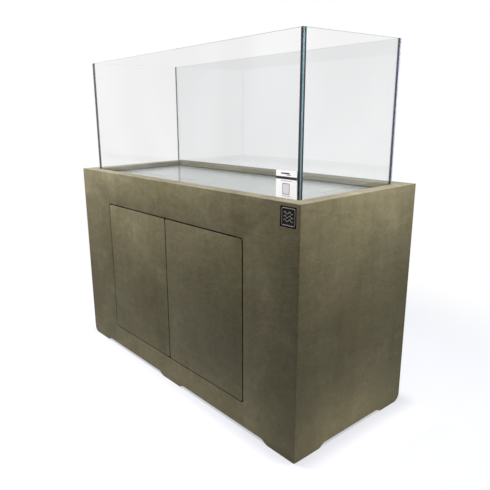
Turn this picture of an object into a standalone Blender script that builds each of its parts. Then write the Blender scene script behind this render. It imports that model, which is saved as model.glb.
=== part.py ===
"""Rimless glass aquarium sunk into a cement-finished cabinet stand with two flush pivot doors.

Metres, +Z up, the doors face -Y. The origin is on the floor under the centre of the stand.
"""

import math

import bmesh
import bpy
from mathutils import Matrix, Vector

# ---- Driving dimensions ----
FIT = 0.0003  # gap kept between pieces that touch
TANK_LENGTH = 1.200
TANK_DEPTH = 0.450
TANK_HEIGHT = 0.480
GLASS = 0.010  # wall panes
FLOOR_GLASS = 0.012
SEAM = 0.002  # silicone joint between panes
ARRIS = 0.0008  # ground edge of a pane

LEDGE = 0.055  # from the tank's outer face to the stand's outer face
RIM_WIDTH = 0.050
STAND_WIDTH = TANK_LENGTH + 2 * LEDGE
STAND_DEPTH = TANK_DEPTH + 2 * LEDGE
STAND_HEIGHT = 0.795
WALL = 0.030
TANK_SINK = 0.030  # how far the tank sits below the rim's top
MAT = 0.005
EASE = 0.004  # round on the cement finish's outer edges
INNER_EASE = 0.003  # round on the rim's inner edge and the doors' front edges

DECK = 0.025
BATTEN = 0.030
BASE_PANEL = 0.018
PARTITION = 0.025
PARTITION_SETBACK = 0.035  # from the stand's front face
JOIST_WIDTH = 0.045

OPENING_HALF_WIDTH = 0.426
OPENING_BOTTOM = 0.099
OPENING_TOP = 0.662
DOOR_GAP = 0.004
DOOR = 0.022
DOOR_CORNER = 0.008
PIVOT_INSET = 0.022  # from the door's outer edge to its pivot axis

FOOT_LIFT = 0.012  # how far the wall's lower edge is raised between the feet
OGEE = 0.032
LEFT_FOOT = 0.132
RIGHT_FOOT = 0.114
SIDE_FOOT = 0.110
CENTRE_FOOT_HALF = 0.053
CORNER_ROUND = 0.030  # three of the bottom corners
FRONT_RIGHT_ROUND = 0.006  # the fourth is sharper

PIN_RADIUS = 0.004
PIN_FLANGE_RADIUS = 0.008
PIN_FLANGE = 0.0025
PIN_REACH = 0.018  # how far a pin goes into its bush
PIN_END_PLAY = 0.002
PIN_NOSE = 0.001  # chamfer
BUSH_BORE = 0.0041
BUSH_RADIUS = 0.0066
BUSH_LENGTH = 0.024

LATCH_HEIGHT = 0.600
LATCH_BODY = Vector((0.016, 0.078, 0.022))
PLUNGER_RADIUS = 0.004
PLUNGER_PLAY = 0.00015  # running clearance in the bore
PLUNGER_HEAD = Vector((0.005, 0.003))  # radius, thickness
PLUNGER_BORE = 0.045  # depth
PLUNGER_TRAVEL = 0.003
PLUNGER_END_PLAY = 0.002
LATCH_SETBACK = 0.002  # from the partition's front edge
LATCH_EASE = 0.0015
STRIKE_RADIUS = 0.010
STRIKE = 0.0015
STRIKE_CHAMFER = 0.0004
SMALL_STEPS = 24  # facets round the latch's turned pieces

HOSE_PORT = Vector((0.140, 0.070))
HOSE_PORT_PLACE = Vector((0.430, 0.600))  # distance from the middle, height
HOSE_PORT_CORNER = 0.020

BADGE = 0.0560
BADGE_POCKET = 0.0600
BADGE_POCKET_DEPTH = 0.005
BADGE_PLATE = 0.003
BADGE_PLACE = Vector((0.6105, 0.7545))  # centre, across and up
LABEL = Vector((0.080, 0.0003, 0.082))
LABEL_PLACE = Vector((0.550, 0.831))  # centre, across and up

# ---- Derived places ----
HALF_WIDTH = STAND_WIDTH / 2
HALF_DEPTH = STAND_DEPTH / 2
FRONT = -HALF_DEPTH
INNER_HALF_WIDTH = HALF_WIDTH - WALL
INNER_HALF_DEPTH = HALF_DEPTH - WALL
TANK_BASE = STAND_HEIGHT - TANK_SINK
TANK_TOP = TANK_BASE + TANK_HEIGHT
PANE_BASE = TANK_BASE + FLOOR_GLASS + SEAM
DECK_TOP = TANK_BASE - MAT - 2 * FIT
DECK_UNDERSIDE = DECK_TOP - DECK
BASE_UNDERSIDE = OPENING_BOTTOM - BASE_PANEL
DOOR_WIDTH = OPENING_HALF_WIDTH - DOOR_GAP * 1.5
DOOR_BOTTOM = OPENING_BOTTOM + DOOR_GAP
DOOR_HEIGHT = OPENING_TOP - OPENING_BOTTOM - 2 * DOOR_GAP
PIVOT_X = OPENING_HALF_WIDTH - DOOR_GAP - PIVOT_INSET
PIVOT_Y = FRONT + DOOR / 2

CEMENT = ("cement_finish", (0.19, 0.17, 0.125, 1), 0.75, 0.0)
PLY = ("birch_ply", (0.62, 0.47, 0.30, 1), 0.6, 0.0)
CLEAR_GLASS = ("clear_glass", (0.80, 0.90, 0.90, 0.35), 0.05, 0.0)
SILICONE = ("black_silicone", (0.01, 0.01, 0.01, 1), 0.4, 0.0)
FOAM = ("white_foam", (0.78, 0.79, 0.77, 1), 0.9, 0.0)
STEEL = ("satin_steel", (0.55, 0.55, 0.56, 1), 0.3, 1.0)
BRASS = ("brass_bush", (0.62, 0.47, 0.22, 1), 0.35, 1.0)
GREY_PLASTIC = ("grey_plastic", (0.25, 0.25, 0.26, 1), 0.5, 0.0)
BRONZE = ("dark_bronze", (0.10, 0.09, 0.08, 1), 0.45, 0.8)
PAPER = ("white_paper", (0.85, 0.85, 0.82, 1), 0.7, 0.0)

SIDES = ("front", "back", "left", "right")

# How an outline's (across, up, depth) turns to face along each axis, and that axis.
OUTLINE_TURNS = {
    "X": (Matrix(((0, 0, 1), (1, 0, 0), (0, 1, 0))), (1, 0, 0)),
    "Y": (Matrix(((1, 0, 0), (0, 0, -1), (0, 1, 0))), (0, 1, 0)),
    "Z": (Matrix.Identity(3), (0, 0, 1)),
}
MERGE = 1e-5  # weld distance
CUT = 0.02  # how far a cutter runs past the face that it cuts


# ---- Scene helpers ----
def clear_scene():
    for old in list(bpy.data.objects):
        bpy.data.objects.remove(old)


def make_collection(name):
    collection = bpy.data.collections.new(name)
    bpy.context.scene.collection.children.link(collection)
    return collection


def material(spec):
    name, colour, roughness, metallic = spec
    found = bpy.data.materials.get(name)
    if found:
        return found
    made = bpy.data.materials.new(name)
    made.use_nodes = True
    shader = made.node_tree.nodes["Principled BSDF"]
    shader.inputs["Base Color"].default_value = colour
    shader.inputs["Alpha"].default_value = colour[3]
    shader.inputs["Roughness"].default_value = roughness
    shader.inputs["Metallic"].default_value = metallic
    return made


def add_object(name, bm, collection, spec=None, origin=(0, 0, 0)):
    """A mesh object whose origin is at the given point; bm holds world coordinates."""
    bmesh.ops.recalc_face_normals(bm, faces=bm.faces)
    bmesh.ops.translate(bm, verts=bm.verts, vec=-Vector(origin))
    mesh = bpy.data.meshes.new(name)
    bm.to_mesh(mesh)
    bm.free()
    obj = bpy.data.objects.new(name, mesh)
    obj.location = origin
    collection.objects.link(obj)
    if spec:
        mesh.materials.append(material(spec))
    return obj


def add_helper(name, bm):
    helper = add_object(name, bm, CUTTERS)
    helper.hide_render = True
    helper.display_type = "WIRE"
    return helper


def add_boolean(obj, other, operation="DIFFERENCE"):
    modifier = obj.modifiers.new(other.name, "BOOLEAN")
    modifier.object = other
    modifier.operation = operation
    modifier.solver = "EXACT"


def apply_modifiers(obj):
    bpy.context.view_layer.update()
    graph = bpy.context.evaluated_depsgraph_get()
    baked = bpy.data.meshes.new_from_object(obj.evaluated_get(graph))
    obj.modifiers.clear()
    obj.data = baked


def smooth(obj, angle=30):
    obj.data.shade_smooth()
    obj.data.set_sharp_from_angle(angle=math.radians(angle))


# ---- Shape helpers ----
def box_mesh(low, high):
    low, high = Vector(low), Vector(high)
    bm = bmesh.new()
    bmesh.ops.create_cube(bm, size=1)
    size = high - low
    bmesh.ops.scale(bm, vec=size, verts=bm.verts)
    bmesh.ops.translate(bm, vec=(low + high) / 2, verts=bm.verts)
    return bm


def round_edges(bm, keep, radius, segments):
    """Bevels the sharp edges for which keep(edge) is true."""
    picked = [e for e in bm.edges if e.calc_face_angle(0) > math.radians(40) and keep(e)]
    bmesh.ops.bevel(
        bm, geom=picked, offset=radius, segments=segments, profile=0.5,
        affect="EDGES", clamp_overlap=True,
    )


def bake(obj):
    """The object's evaluated mesh as a welded bmesh in its own coordinates; the object is removed."""
    bpy.context.view_layer.update()
    graph = bpy.context.evaluated_depsgraph_get()
    mesh = bpy.data.meshes.new_from_object(obj.evaluated_get(graph))
    bm = bmesh.new()
    bm.from_mesh(mesh)
    bmesh.ops.remove_doubles(bm, verts=bm.verts, dist=MERGE)
    bpy.data.objects.remove(obj)
    bpy.data.meshes.remove(mesh)
    return bm


def prism_mesh(outline, axis, start, end):
    """A closed outline of (across, up) points, extruded along X or Y. Along Z they are (x, y)."""
    curve = bpy.data.curves.new("outline", "CURVE")
    curve.dimensions = "2D"
    curve.fill_mode = "BOTH"
    curve.extrude = abs(end - start) / 2
    spline = curve.splines.new("POLY")
    spline.points.add(len(outline) - 1)
    for point, (across, up) in zip(spline.points, outline):
        point.co = (across, up, 0, 1)
    spline.use_cyclic_u = True
    flat = bpy.data.objects.new("outline", curve)
    CUTTERS.objects.link(flat)
    bm = bake(flat)
    turn, way = OUTLINE_TURNS[axis]
    place = Matrix.Translation(Vector(way) * (start + end) / 2)
    bmesh.ops.transform(bm, matrix=place @ turn.to_4x4(), verts=bm.verts)
    return bm


def rounded_rectangle(centre, size, radius, steps=5):
    """Outline of a rectangle with round corners, anticlockwise."""
    points = []
    for turn, (sx, sy) in enumerate(((1, 1), (-1, 1), (-1, -1), (1, -1))):
        corner = (centre[0] + sx * (size[0] / 2 - radius), centre[1] + sy * (size[1] / 2 - radius))
        for step in range(steps + 1):
            angle = math.pi / 2 * (turn + step / steps)
            points.append((corner[0] + radius * math.cos(angle), corner[1] + radius * math.sin(angle)))
    return points


def turned_mesh(centre, axis, profile, steps=32):
    """A turned solid: profile is (radius, distance along axis) pairs, from the far end to the near one.

    It starts and ends on the axis, so that the solid is closed.
    """
    mesh = bpy.data.meshes.new("profile")
    links = [(k, k + 1) for k in range(len(profile) - 1)]
    mesh.from_pydata([(radius, 0, along) for radius, along in profile], links, [])
    obj = bpy.data.objects.new("profile", mesh)
    CUTTERS.objects.link(obj)
    screw = obj.modifiers.new("turn", "SCREW")
    screw.steps = steps
    screw.render_steps = steps
    screw.use_merge_vertices = True
    screw.merge_threshold = MERGE
    bm = bake(obj)
    facing = Vector((0, 0, 1)).rotation_difference(Vector(axis)).to_matrix().to_4x4()
    bmesh.ops.transform(bm, matrix=Matrix.Translation(centre) @ facing, verts=bm.verts)
    return bm


# ---- Cabinet walls ----
def foot_notch(foot_start, foot_end):
    """Outline of the raised stretch between two feet, with an ogee at each end."""
    steps = 6
    rise = [(foot_start + OGEE * k / steps, FOOT_LIFT * (1 - math.cos(math.pi * k / steps)) / 2)
            for k in range(steps + 1)]
    fall = [(foot_end - (a - foot_start), b) for a, b in reversed(rise)]
    return [(foot_start, -FOOT_LIFT)] + rise + fall + [(foot_end, -FOOT_LIFT)]


def cut_feet(shell):
    spans = ((LEFT_FOOT - HALF_WIDTH, -CENTRE_FOOT_HALF), (CENTRE_FOOT_HALF, HALF_WIDTH - RIGHT_FOOT))
    for number, span in enumerate(spans):
        notch = prism_mesh(foot_notch(*span), "Y", -HALF_DEPTH - CUT, HALF_DEPTH + CUT)
        add_boolean(shell, add_helper(f"front_notch_{number}", notch))
    side_span = (-HALF_DEPTH + SIDE_FOOT, HALF_DEPTH - SIDE_FOOT)
    notch = prism_mesh(foot_notch(*side_span), "X", -HALF_WIDTH - CUT, HALF_WIDTH + CUT)
    add_boolean(shell, add_helper("side_notch", notch))


def wall_block():
    """A box with its bottom corners rounded in every elevation and its upright and top edges eased."""
    block = box_mesh((-HALF_WIDTH, -HALF_DEPTH, 0), (HALF_WIDTH, HALF_DEPTH, STAND_HEIGHT))
    low = [v for v in block.verts if v.co.z < FIT]
    front_right = [v for v in low if v.co.x > 0 and v.co.y < 0]
    others = [v for v in low if v not in front_right]
    for corners, radius, segments in ((others, CORNER_ROUND, 6), (front_right, FRONT_RIGHT_ROUND, 3)):
        bmesh.ops.bevel(
            block, geom=corners, offset=radius, segments=segments, profile=0.5,
            affect="VERTICES", clamp_overlap=True,
        )
    round_edges(block, is_outer_arris, EASE, 3)
    return block


def is_outer_arris(edge):
    """True on the block's long upright and top edges, not on the floor's or a rounded corner's."""
    on_floor = all(v.co.z < FIT for v in edge.verts)
    return edge.calc_length() > CORNER_ROUND and not on_floor


def opening_outline():
    centre = (0, (OPENING_BOTTOM + OPENING_TOP) / 2)
    size = (2 * OPENING_HALF_WIDTH, OPENING_TOP - OPENING_BOTTOM)
    return rounded_rectangle(centre, size, DOOR_CORNER + DOOR_GAP)


def build_shell():
    """The four walls in one piece: one rounded box, hollowed, with its feet and openings cut."""
    shell = add_helper("wall_shell", wall_block())
    inside = Vector((INNER_HALF_WIDTH, INNER_HALF_DEPTH, 0))
    below, above = Vector((0, 0, -CUT)), Vector((0, 0, STAND_HEIGHT + CUT))
    add_boolean(shell, add_helper("cabinet_inside", box_mesh(below - inside, above + inside)))
    cut_feet(shell)
    opening = prism_mesh(opening_outline(), "Y", FRONT - CUT, FRONT + WALL + CUT)
    add_boolean(shell, add_helper("door_opening", opening))
    for side in (-1, 1):
        centre = (side * HOSE_PORT_PLACE.x, HOSE_PORT_PLACE.y)
        port = rounded_rectangle(centre, HOSE_PORT, HOSE_PORT_CORNER)
        cutter = prism_mesh(port, "Y", HALF_DEPTH - WALL - CUT, HALF_DEPTH + CUT)
        add_boolean(shell, add_helper(f"hose_port_{side:+d}", cutter))
    pocket = badge_box(BADGE_POCKET, FRONT - CUT, FRONT + BADGE_POCKET_DEPTH)
    add_boolean(shell, add_helper("badge_pocket", pocket))
    return shell


def mitre_wedge(side):
    """The region of the plan that belongs to one wall, moved out so the mitred ends keep their gap."""
    wide, deep, ridge = HALF_WIDTH + CUT, HALF_DEPTH + CUT, HALF_WIDTH - HALF_DEPTH
    shift = FIT / math.sqrt(2)
    front = [(-wide, -deep), (wide, -deep), (ridge, 0), (-ridge, 0)]
    right = [(wide, -deep), (wide, deep), (ridge, 0)]
    outline = {
        "front": [(x, y - shift) for x, y in front],
        "back": [(x, shift - y) for x, y in front],
        "right": [(x + shift, y) for x, y in right],
        "left": [(-x - shift, y) for x, y in right],
    }[side]
    return prism_mesh(outline, "Z", -CUT, STAND_HEIGHT + CUT)


def cut_to_walls(whole, names):
    """Makes the four mitred pieces of a ring, one for each side of the stand."""
    for side, name in names.items():
        piece = whole.copy()
        piece.data = whole.data.copy()
        piece.name = name
        piece.data.name = name
        piece.hide_render = False
        piece.display_type = "TEXTURED"
        PARTS.objects.link(piece)
        add_boolean(piece, bpy.data.objects[f"wedge_{side}"], "INTERSECT")
        piece.data.materials.append(material(CEMENT))
        apply_modifiers(piece)
        smooth(piece)


def build_walls():
    for side in SIDES:
        add_helper(f"wedge_{side}", mitre_wedge(side))
    cut_to_walls(build_shell(), {
        "front": "front_panel",
        "back": "back_panel",
        "left": "side_panel_left",
        "right": "side_panel_right",
    })


def build_rim_strips():
    """Four mitred strips on the deck, inside the walls, that widen the rim to the tank."""
    low, high = DECK_TOP + FIT, STAND_HEIGHT
    outer = Vector((INNER_HALF_WIDTH - FIT, INNER_HALF_DEPTH - FIT))
    inner = Vector((HALF_WIDTH - RIM_WIDTH, HALF_DEPTH - RIM_WIDTH))
    ring = add_helper("rim_ring", box_mesh((-outer.x, -outer.y, low), (outer.x, outer.y, high)))
    hole = box_mesh((-inner.x, -inner.y, low - CUT), (inner.x, inner.y, high + CUT))
    add_boolean(ring, add_helper("rim_hole", hole))
    apply_modifiers(ring)
    bm = bmesh.new()
    bm.from_mesh(ring.data)

    def top_inner(edge):
        middle = (edge.verts[0].co + edge.verts[1].co) / 2
        inside = abs(middle.x) < inner.x + FIT and abs(middle.y) < inner.y + FIT
        return inside and middle.z > high - FIT

    round_edges(bm, top_inner, INNER_EASE, 3)
    bm.to_mesh(ring.data)
    bm.free()
    cut_to_walls(ring, {side: f"rim_strip_{side}" for side in SIDES})


# ---- Carcass ----
def add_box(name, low, high, spec, ease=0.0):
    bm = box_mesh(low, high)
    if ease:
        round_edges(bm, lambda edge: True, ease, 2)
    return add_object(name, bm, PARTS, spec)


def build_carcass():
    wide, deep = INNER_HALF_WIDTH - FIT, INNER_HALF_DEPTH - FIT
    add_box("top_deck", (-wide, -deep, DECK_UNDERSIDE), (wide, deep, DECK_TOP), PLY)
    add_box("base_panel", (-wide, -deep, BASE_UNDERSIDE), (wide, deep, OPENING_BOTTOM), PLY)
    top, low = DECK_UNDERSIDE - FIT, DECK_UNDERSIDE - FIT - BATTEN
    for sign, side in ((-1, "front"), (1, "back")):
        near, far = sorted((sign * deep, sign * (deep - BATTEN)))
        add_box(f"deck_batten_{side}", (-wide, near, low), (wide, far, top), PLY)
    short = deep - BATTEN - FIT
    for sign, side in ((-1, "left"), (1, "right")):
        near, far = sorted((sign * wide, sign * (wide - BATTEN)))
        add_box(f"deck_batten_{side}", (near, -short, low), (far, short, top), PLY)
    top = BASE_UNDERSIDE - FIT
    add_box("base_joist_centre", (-JOIST_WIDTH / 2, -deep, FOOT_LIFT), (JOIST_WIDTH / 2, deep, top), PLY)
    for sign, side in ((-1, "left"), (1, "right")):
        start, end = sign * (JOIST_WIDTH / 2 + FIT), sign * wide
        near, far = sorted((start, end))
        for along, end_name in ((-1, "front"), (1, "back")):
            edge, inner = sorted((along * deep, along * (deep - BATTEN)))
            name = f"base_batten_{side}_{end_name}"
            add_box(name, (near, edge, top - BATTEN), (far, inner, top), PLY)
    build_partition()


def build_partition():
    """The upright under the deck's middle, housed round the two long battens."""
    low, high = OPENING_BOTTOM + FIT, DECK_UNDERSIDE - FIT
    front, back = FRONT + PARTITION_SETBACK, INNER_HALF_DEPTH - FIT
    half = PARTITION / 2
    partition = add_box("centre_partition", (-half, front, low), (half, back, high), PLY)
    house = BATTEN + 2 * FIT
    step = INNER_HALF_DEPTH - house
    for name, edge in (("front", -INNER_HALF_DEPTH - CUT), ("back", INNER_HALF_DEPTH + CUT)):
        near, far = sorted((edge, math.copysign(step, edge)))
        cutter = box_mesh((-PARTITION, near, high - house), (PARTITION, far, high + CUT))
        add_boolean(partition, add_helper(f"housing_{name}", cutter))


# ---- Doors ----
def build_door(side, sign):
    """side is left or right, sign -1 or +1. The door's origin is on its pivot axis."""
    centre = sign * (DOOR_GAP / 2 + DOOR_WIDTH / 2)
    middle = DOOR_BOTTOM + DOOR_HEIGHT / 2
    outline = rounded_rectangle((centre, middle), (DOOR_WIDTH, DOOR_HEIGHT), DOOR_CORNER)
    bm = prism_mesh(outline, "Y", FRONT, FRONT + DOOR)
    round_edges(bm, lambda edge: all(abs(v.co.y - FRONT) < MERGE for v in edge.verts), INNER_EASE, 3)
    axis = Vector((sign * PIVOT_X, PIVOT_Y, 0))
    pivot = bpy.data.objects.new(f"door_{side}_pivot", None)
    pivot.location = axis
    PARTS.objects.link(pivot)
    door = add_object(f"door_{side}", bm, PARTS, CEMENT, origin=axis)
    for level, name in ((DOOR_BOTTOM, "lower"), (DOOR_BOTTOM + DOOR_HEIGHT, "upper")):
        inward = 1 if name == "lower" else -1
        build_pivot(side, name, axis, level, inward, door)
    apply_modifiers(door)
    smooth(door)
    hang(door, pivot)
    for name in ("lower", "upper"):
        hang(bpy.data.objects[f"pivot_bush_{side}_{name}"], pivot)
    hang(build_strike(side, sign), pivot)


def hang(child, parent):
    """Parents child and leaves it where it is."""
    child.parent = parent
    child.matrix_parent_inverse = Matrix.Translation(-parent.location)


def build_pivot(side, name, axis, level, inward, door):
    """A flanged pin on the opening's sill or head, and its bush in the door's end."""
    up = (0, 0, inward)
    base = Vector((axis.x, axis.y, level))
    radius, depth = BUSH_RADIUS + FIT, BUSH_LENGTH + FIT
    socket = turned_mesh(base, up, [(0, depth), (radius, depth), (radius, -CUT), (0, -CUT)])
    add_boolean(door, add_helper(f"bush_socket_{side}_{name}", socket))
    bore_end = PIN_REACH + PIN_END_PLAY
    bush = turned_mesh(
        base, up,
        [(0, BUSH_LENGTH), (BUSH_RADIUS, BUSH_LENGTH), (BUSH_RADIUS, 0),
         (BUSH_BORE, 0), (BUSH_BORE, bore_end), (0, bore_end)],
    )
    smooth(add_object(f"pivot_bush_{side}_{name}", bush, PARTS, BRASS, origin=base))
    seat = FIT - DOOR_GAP
    shoulder = seat + PIN_FLANGE
    pin = turned_mesh(
        base, up,
        [(0, PIN_REACH), (PIN_RADIUS - PIN_NOSE, PIN_REACH), (PIN_RADIUS, PIN_REACH - PIN_NOSE),
         (PIN_RADIUS, shoulder), (PIN_FLANGE_RADIUS, shoulder), (PIN_FLANGE_RADIUS, seat), (0, seat)],
    )
    smooth(add_object(f"pivot_pin_{side}_{name}", pin, PARTS, STEEL, origin=base))


def latch_place(sign):
    """Centre line of the latch: across and its height."""
    return Vector((sign * (PARTITION / 2 + FIT + LATCH_BODY.x / 2), 0, LATCH_HEIGHT))


def build_strike(side, sign):
    """The steel disc on the back of the door that the latch's plunger meets."""
    centre = latch_place(sign) + Vector((0, FRONT + DOOR + FIT, 0))
    rim = STRIKE_RADIUS - STRIKE_CHAMFER
    disc = [(0, STRIKE), (rim, STRIKE), (STRIKE_RADIUS, STRIKE - STRIKE_CHAMFER), (STRIKE_RADIUS, 0), (0, 0)]
    bm = turned_mesh(centre, (0, 1, 0), disc, SMALL_STEPS)
    strike = add_object(f"strike_disc_{side}", bm, PARTS, STEEL, origin=centre)
    smooth(strike)
    return strike


def build_latch(side, sign):
    """A push latch on the partition: a housing, and a sprung plunger that slides in its bore."""
    place = latch_place(sign)
    front = FRONT + PARTITION_SETBACK + LATCH_SETBACK
    low = Vector((place.x - LATCH_BODY.x / 2, front, place.z - LATCH_BODY.z / 2))
    body = add_box(f"latch_body_{side}", low, low + LATCH_BODY, GREY_PLASTIC, LATCH_EASE)
    radius = PLUNGER_RADIUS + PLUNGER_PLAY
    bore = [(0, PLUNGER_BORE), (radius, PLUNGER_BORE), (radius, -CUT), (0, -CUT)]
    mouth = Vector((place.x, front, place.z))
    cutter = turned_mesh(mouth, (0, 1, 0), bore, SMALL_STEPS)
    add_boolean(body, add_helper(f"latch_bore_{side}", cutter))
    tip = FRONT + DOOR + 2 * FIT + STRIKE
    length = front + PLUNGER_BORE - PLUNGER_TRAVEL - PLUNGER_END_PLAY - tip
    head = PLUNGER_HEAD
    profile = [(0, length), (PLUNGER_RADIUS, length), (PLUNGER_RADIUS, head.y),
               (head.x, head.y), (head.x, 0), (0, 0)]
    start = Vector((place.x, tip, place.z))
    plunger = turned_mesh(start, (0, 1, 0), profile, SMALL_STEPS)
    smooth(add_object(f"latch_plunger_{side}", plunger, PARTS, STEEL, origin=start))


# ---- Tank ----
def build_tank():
    long, deep = TANK_LENGTH / 2, TANK_DEPTH / 2
    floor_top = TANK_BASE + FLOOR_GLASS
    add_box("glass_floor", (-long, -deep, TANK_BASE), (long, deep, floor_top), CLEAR_GLASS, ARRIS)
    inner = deep - GLASS
    for sign, side in ((-1, "front"), (1, "back")):
        near, far = sorted((sign * deep, sign * inner))
        add_box(f"glass_{side}", (-long, near, PANE_BASE), (long, far, TANK_TOP), CLEAR_GLASS, ARRIS)
    end = inner - SEAM
    for sign, side in ((-1, "left"), (1, "right")):
        near, far = sorted((sign * long, sign * (long - GLASS)))
        add_box(f"glass_{side}", (near, -end, PANE_BASE), (far, end, TANK_TOP), CLEAR_GLASS, ARRIS)
        for along, pane in ((-1, "front"), (1, "back")):
            y0, y1 = sorted((along * (inner - FIT), along * (end + FIT)))
            add_box(f"silicone_{pane}_{side}", (near, y0, PANE_BASE), (far, y1, TANK_TOP), SILICONE)
    build_base_seam(long, deep)
    add_box("levelling_mat", (-long, -deep, DECK_TOP + FIT), (long, deep, TANK_BASE - FIT), FOAM)


def build_base_seam(long, deep):
    """The bead under the wall panes, one ring on the edge of the floor pane."""
    low, high = TANK_BASE + FLOOR_GLASS + FIT, PANE_BASE - FIT
    ring = add_box("silicone_base", (-long, -deep, low), (long, deep, high), SILICONE)
    hole = box_mesh((GLASS - long, GLASS - deep, low - CUT), (long - GLASS, deep - GLASS, high + CUT))
    add_boolean(ring, add_helper("base_seam_hole", hole))


# ---- Trim ----
def badge_box(size, near, far):
    """A square block at the badge's place, from near to far in Y."""
    half = size / 2
    x, z = BADGE_PLACE
    return box_mesh((x - half, near, z - half), (x + half, far, z + half))


def build_trim():
    floor = FRONT + BADGE_POCKET_DEPTH - FIT
    add_object("badge_plate", badge_box(BADGE, floor - BADGE_PLATE, floor), PARTS, BRONZE)
    centre = Vector((LABEL_PLACE.x, -TANK_DEPTH / 2 - FIT - LABEL.y / 2, LABEL_PLACE.y))
    add_box("info_label", centre - LABEL / 2, centre + LABEL / 2, PAPER)


clear_scene()
PARTS = make_collection("aquarium_on_stand")
CUTTERS = make_collection("cutters")
build_walls()
build_rim_strips()
build_carcass()
for door_side, door_sign in (("left", -1), ("right", 1)):
    build_door(door_side, door_sign)
    build_latch(door_side, door_sign)
build_tank()
build_trim()
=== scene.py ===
"""Looks of the aquarium on its cement-finished stand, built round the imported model.

Metres, +Z up, the doors face -Y. The modelled pieces keep their shape. The cement walls and doors,
the silicone seams, the foam mat, the badge and the label are made here and stand for theirs.
"""

import math

import bmesh
import bpy
from mathutils import Matrix, Vector


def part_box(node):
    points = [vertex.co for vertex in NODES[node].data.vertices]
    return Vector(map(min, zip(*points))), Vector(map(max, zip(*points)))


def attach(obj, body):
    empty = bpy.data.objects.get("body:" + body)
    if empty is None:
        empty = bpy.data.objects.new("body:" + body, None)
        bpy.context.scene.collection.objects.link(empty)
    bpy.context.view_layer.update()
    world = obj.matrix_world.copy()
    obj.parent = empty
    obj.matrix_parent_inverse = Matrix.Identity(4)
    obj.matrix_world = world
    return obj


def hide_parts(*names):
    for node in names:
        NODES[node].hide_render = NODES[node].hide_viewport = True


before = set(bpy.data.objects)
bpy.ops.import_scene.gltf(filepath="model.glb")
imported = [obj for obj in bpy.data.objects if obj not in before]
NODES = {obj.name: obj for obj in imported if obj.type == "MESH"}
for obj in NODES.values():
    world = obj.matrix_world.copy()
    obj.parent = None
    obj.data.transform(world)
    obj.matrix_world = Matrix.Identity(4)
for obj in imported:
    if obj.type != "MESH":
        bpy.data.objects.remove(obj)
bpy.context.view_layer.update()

ROOT = "cabinet"

# ---- Places read from the model ----
STAND_LOW = Vector((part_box("side_panel_left")[0].x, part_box("front_panel")[0].y, 0))
STAND_HIGH = Vector((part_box("side_panel_right")[1].x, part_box("back_panel")[1].y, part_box("front_panel")[1].z))
HALF_WIDTH, HALF_DEPTH, STAND_HEIGHT = STAND_HIGH
FRONT = STAND_LOW.y
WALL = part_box("front_panel")[1].y - FRONT
RIM_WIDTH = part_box("rim_strip_front")[1].y - FRONT
RIM_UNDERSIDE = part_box("rim_strip_front")[0].z
DOOR_LOW, DOOR_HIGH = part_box("door_left")[0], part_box("door_right")[1]
TANK_HIGH = Vector((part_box("glass_front")[1].x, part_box("glass_back")[1].y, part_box("glass_front")[1].z))
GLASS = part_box("glass_front")[1].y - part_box("glass_front")[0].y
FLOOR_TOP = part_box("glass_floor")[1].z
PANE_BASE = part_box("glass_front")[0].z
SIDE_PANE_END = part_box("glass_right")[1].y
BADGE_LOW, BADGE_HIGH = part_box("badge_plate")
LABEL_LOW, LABEL_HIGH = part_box("info_label")
MAT_LOW, MAT_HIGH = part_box("levelling_mat")

# ---- Fine dimensions of the finish ----
CUT = 0.02  # how far a cutter runs past the face that it cuts
MERGE = 1e-5  # corners closer than this are one corner
SHARP_ANGLE = math.radians(40)  # between two faces: the edges that get rounded
SMOOTH_ANGLE = math.radians(30)  # between two faces: shaded as one surface below this
MITRE_GAP = 0.00004
EDGE_ROUND = 0.004
OPENING_ROUND = 0.0016
RIM_INNER_ROUND = 0.003
PORT_ROUND = 0.002
CORNER_ROUND = 0.030
FRONT_RIGHT_ROUND = 0.006
DOOR_GAP = 0.004
DOOR_CORNER = 0.008
FOOT_LIFT = 0.012
OGEE = 0.032
LEFT_FOOT = 0.132
RIGHT_FOOT = 0.114
SIDE_FOOT = 0.110
CENTRE_FOOT_HALF = 0.053
HOSE_PORT = Vector((0.140, 0.070))
HOSE_PORT_PLACE = Vector((0.430, 0.600))
HOSE_PORT_CORNER = 0.020
BADGE_POCKET = 0.060
BADGE_POCKET_DEPTH = 0.005
FILLET = 0.001  # silicone bead inside the tank
WIDE_FILLET = 0.0035  # the same bead at the front right
BASE_FILLET = 0.0005
SEAM_GAP = 0.0003  # what the silicone keeps from the glass
SEAM_END_GAP = 0.0002
MAT_ROUND = 0.0014
WALL_PANELS = {
    "front": "front_panel", "back": "back_panel", "left": "side_panel_left", "right": "side_panel_right",
}

# ---- Badge and label ----
BADGE_ROUND = 0.0005
RELIEF_RADIUS = 0.0017
WAVE_LENGTH, WAVE_HEIGHT, WAVE_SPACING = 0.62, 0.055, 0.19  # shares of the plate's size
BORDER_SIZE = 0.86  # share of the plate's size
BORDER_CORNER = 0.004
SHEET_CORNER = 0.002
SHEET_FACE, MARK_FACE, MARK_BACK = 0.00005, 0.00002, 0.00006  # depths behind the label's face
MARK_CORNER = 0.12  # share of the mark's shorter side
LABEL_MARKS = (
    # name, middle and size as shares of the sheet's, finish
    ("label_bar", (0.5, 0.745), (1.0, 0.095), "ink"),
    ("label_frame", (0.49, 0.365), (0.36, 0.40), "faint"),
    ("label_square", (0.49, 0.365), (0.30, 0.335), "grey"),
    ("label_line_upper", (0.50, 0.645), (0.52, 0.02), "faint"),
    ("label_line_lower", (0.50, 0.12), (0.40, 0.02), "faint"),
    ("label_line_top", (0.45, 0.90), (0.42, 0.05), "ink"),
    ("label_line_second", (0.62, 0.845), (0.20, 0.03), "faint"),
)


# ---- Material helpers ----
def new_material(name):
    made = bpy.data.materials.new(name)
    made.use_nodes = True
    tree = made.node_tree
    return made, tree, tree.nodes["Principled BSDF"]


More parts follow.
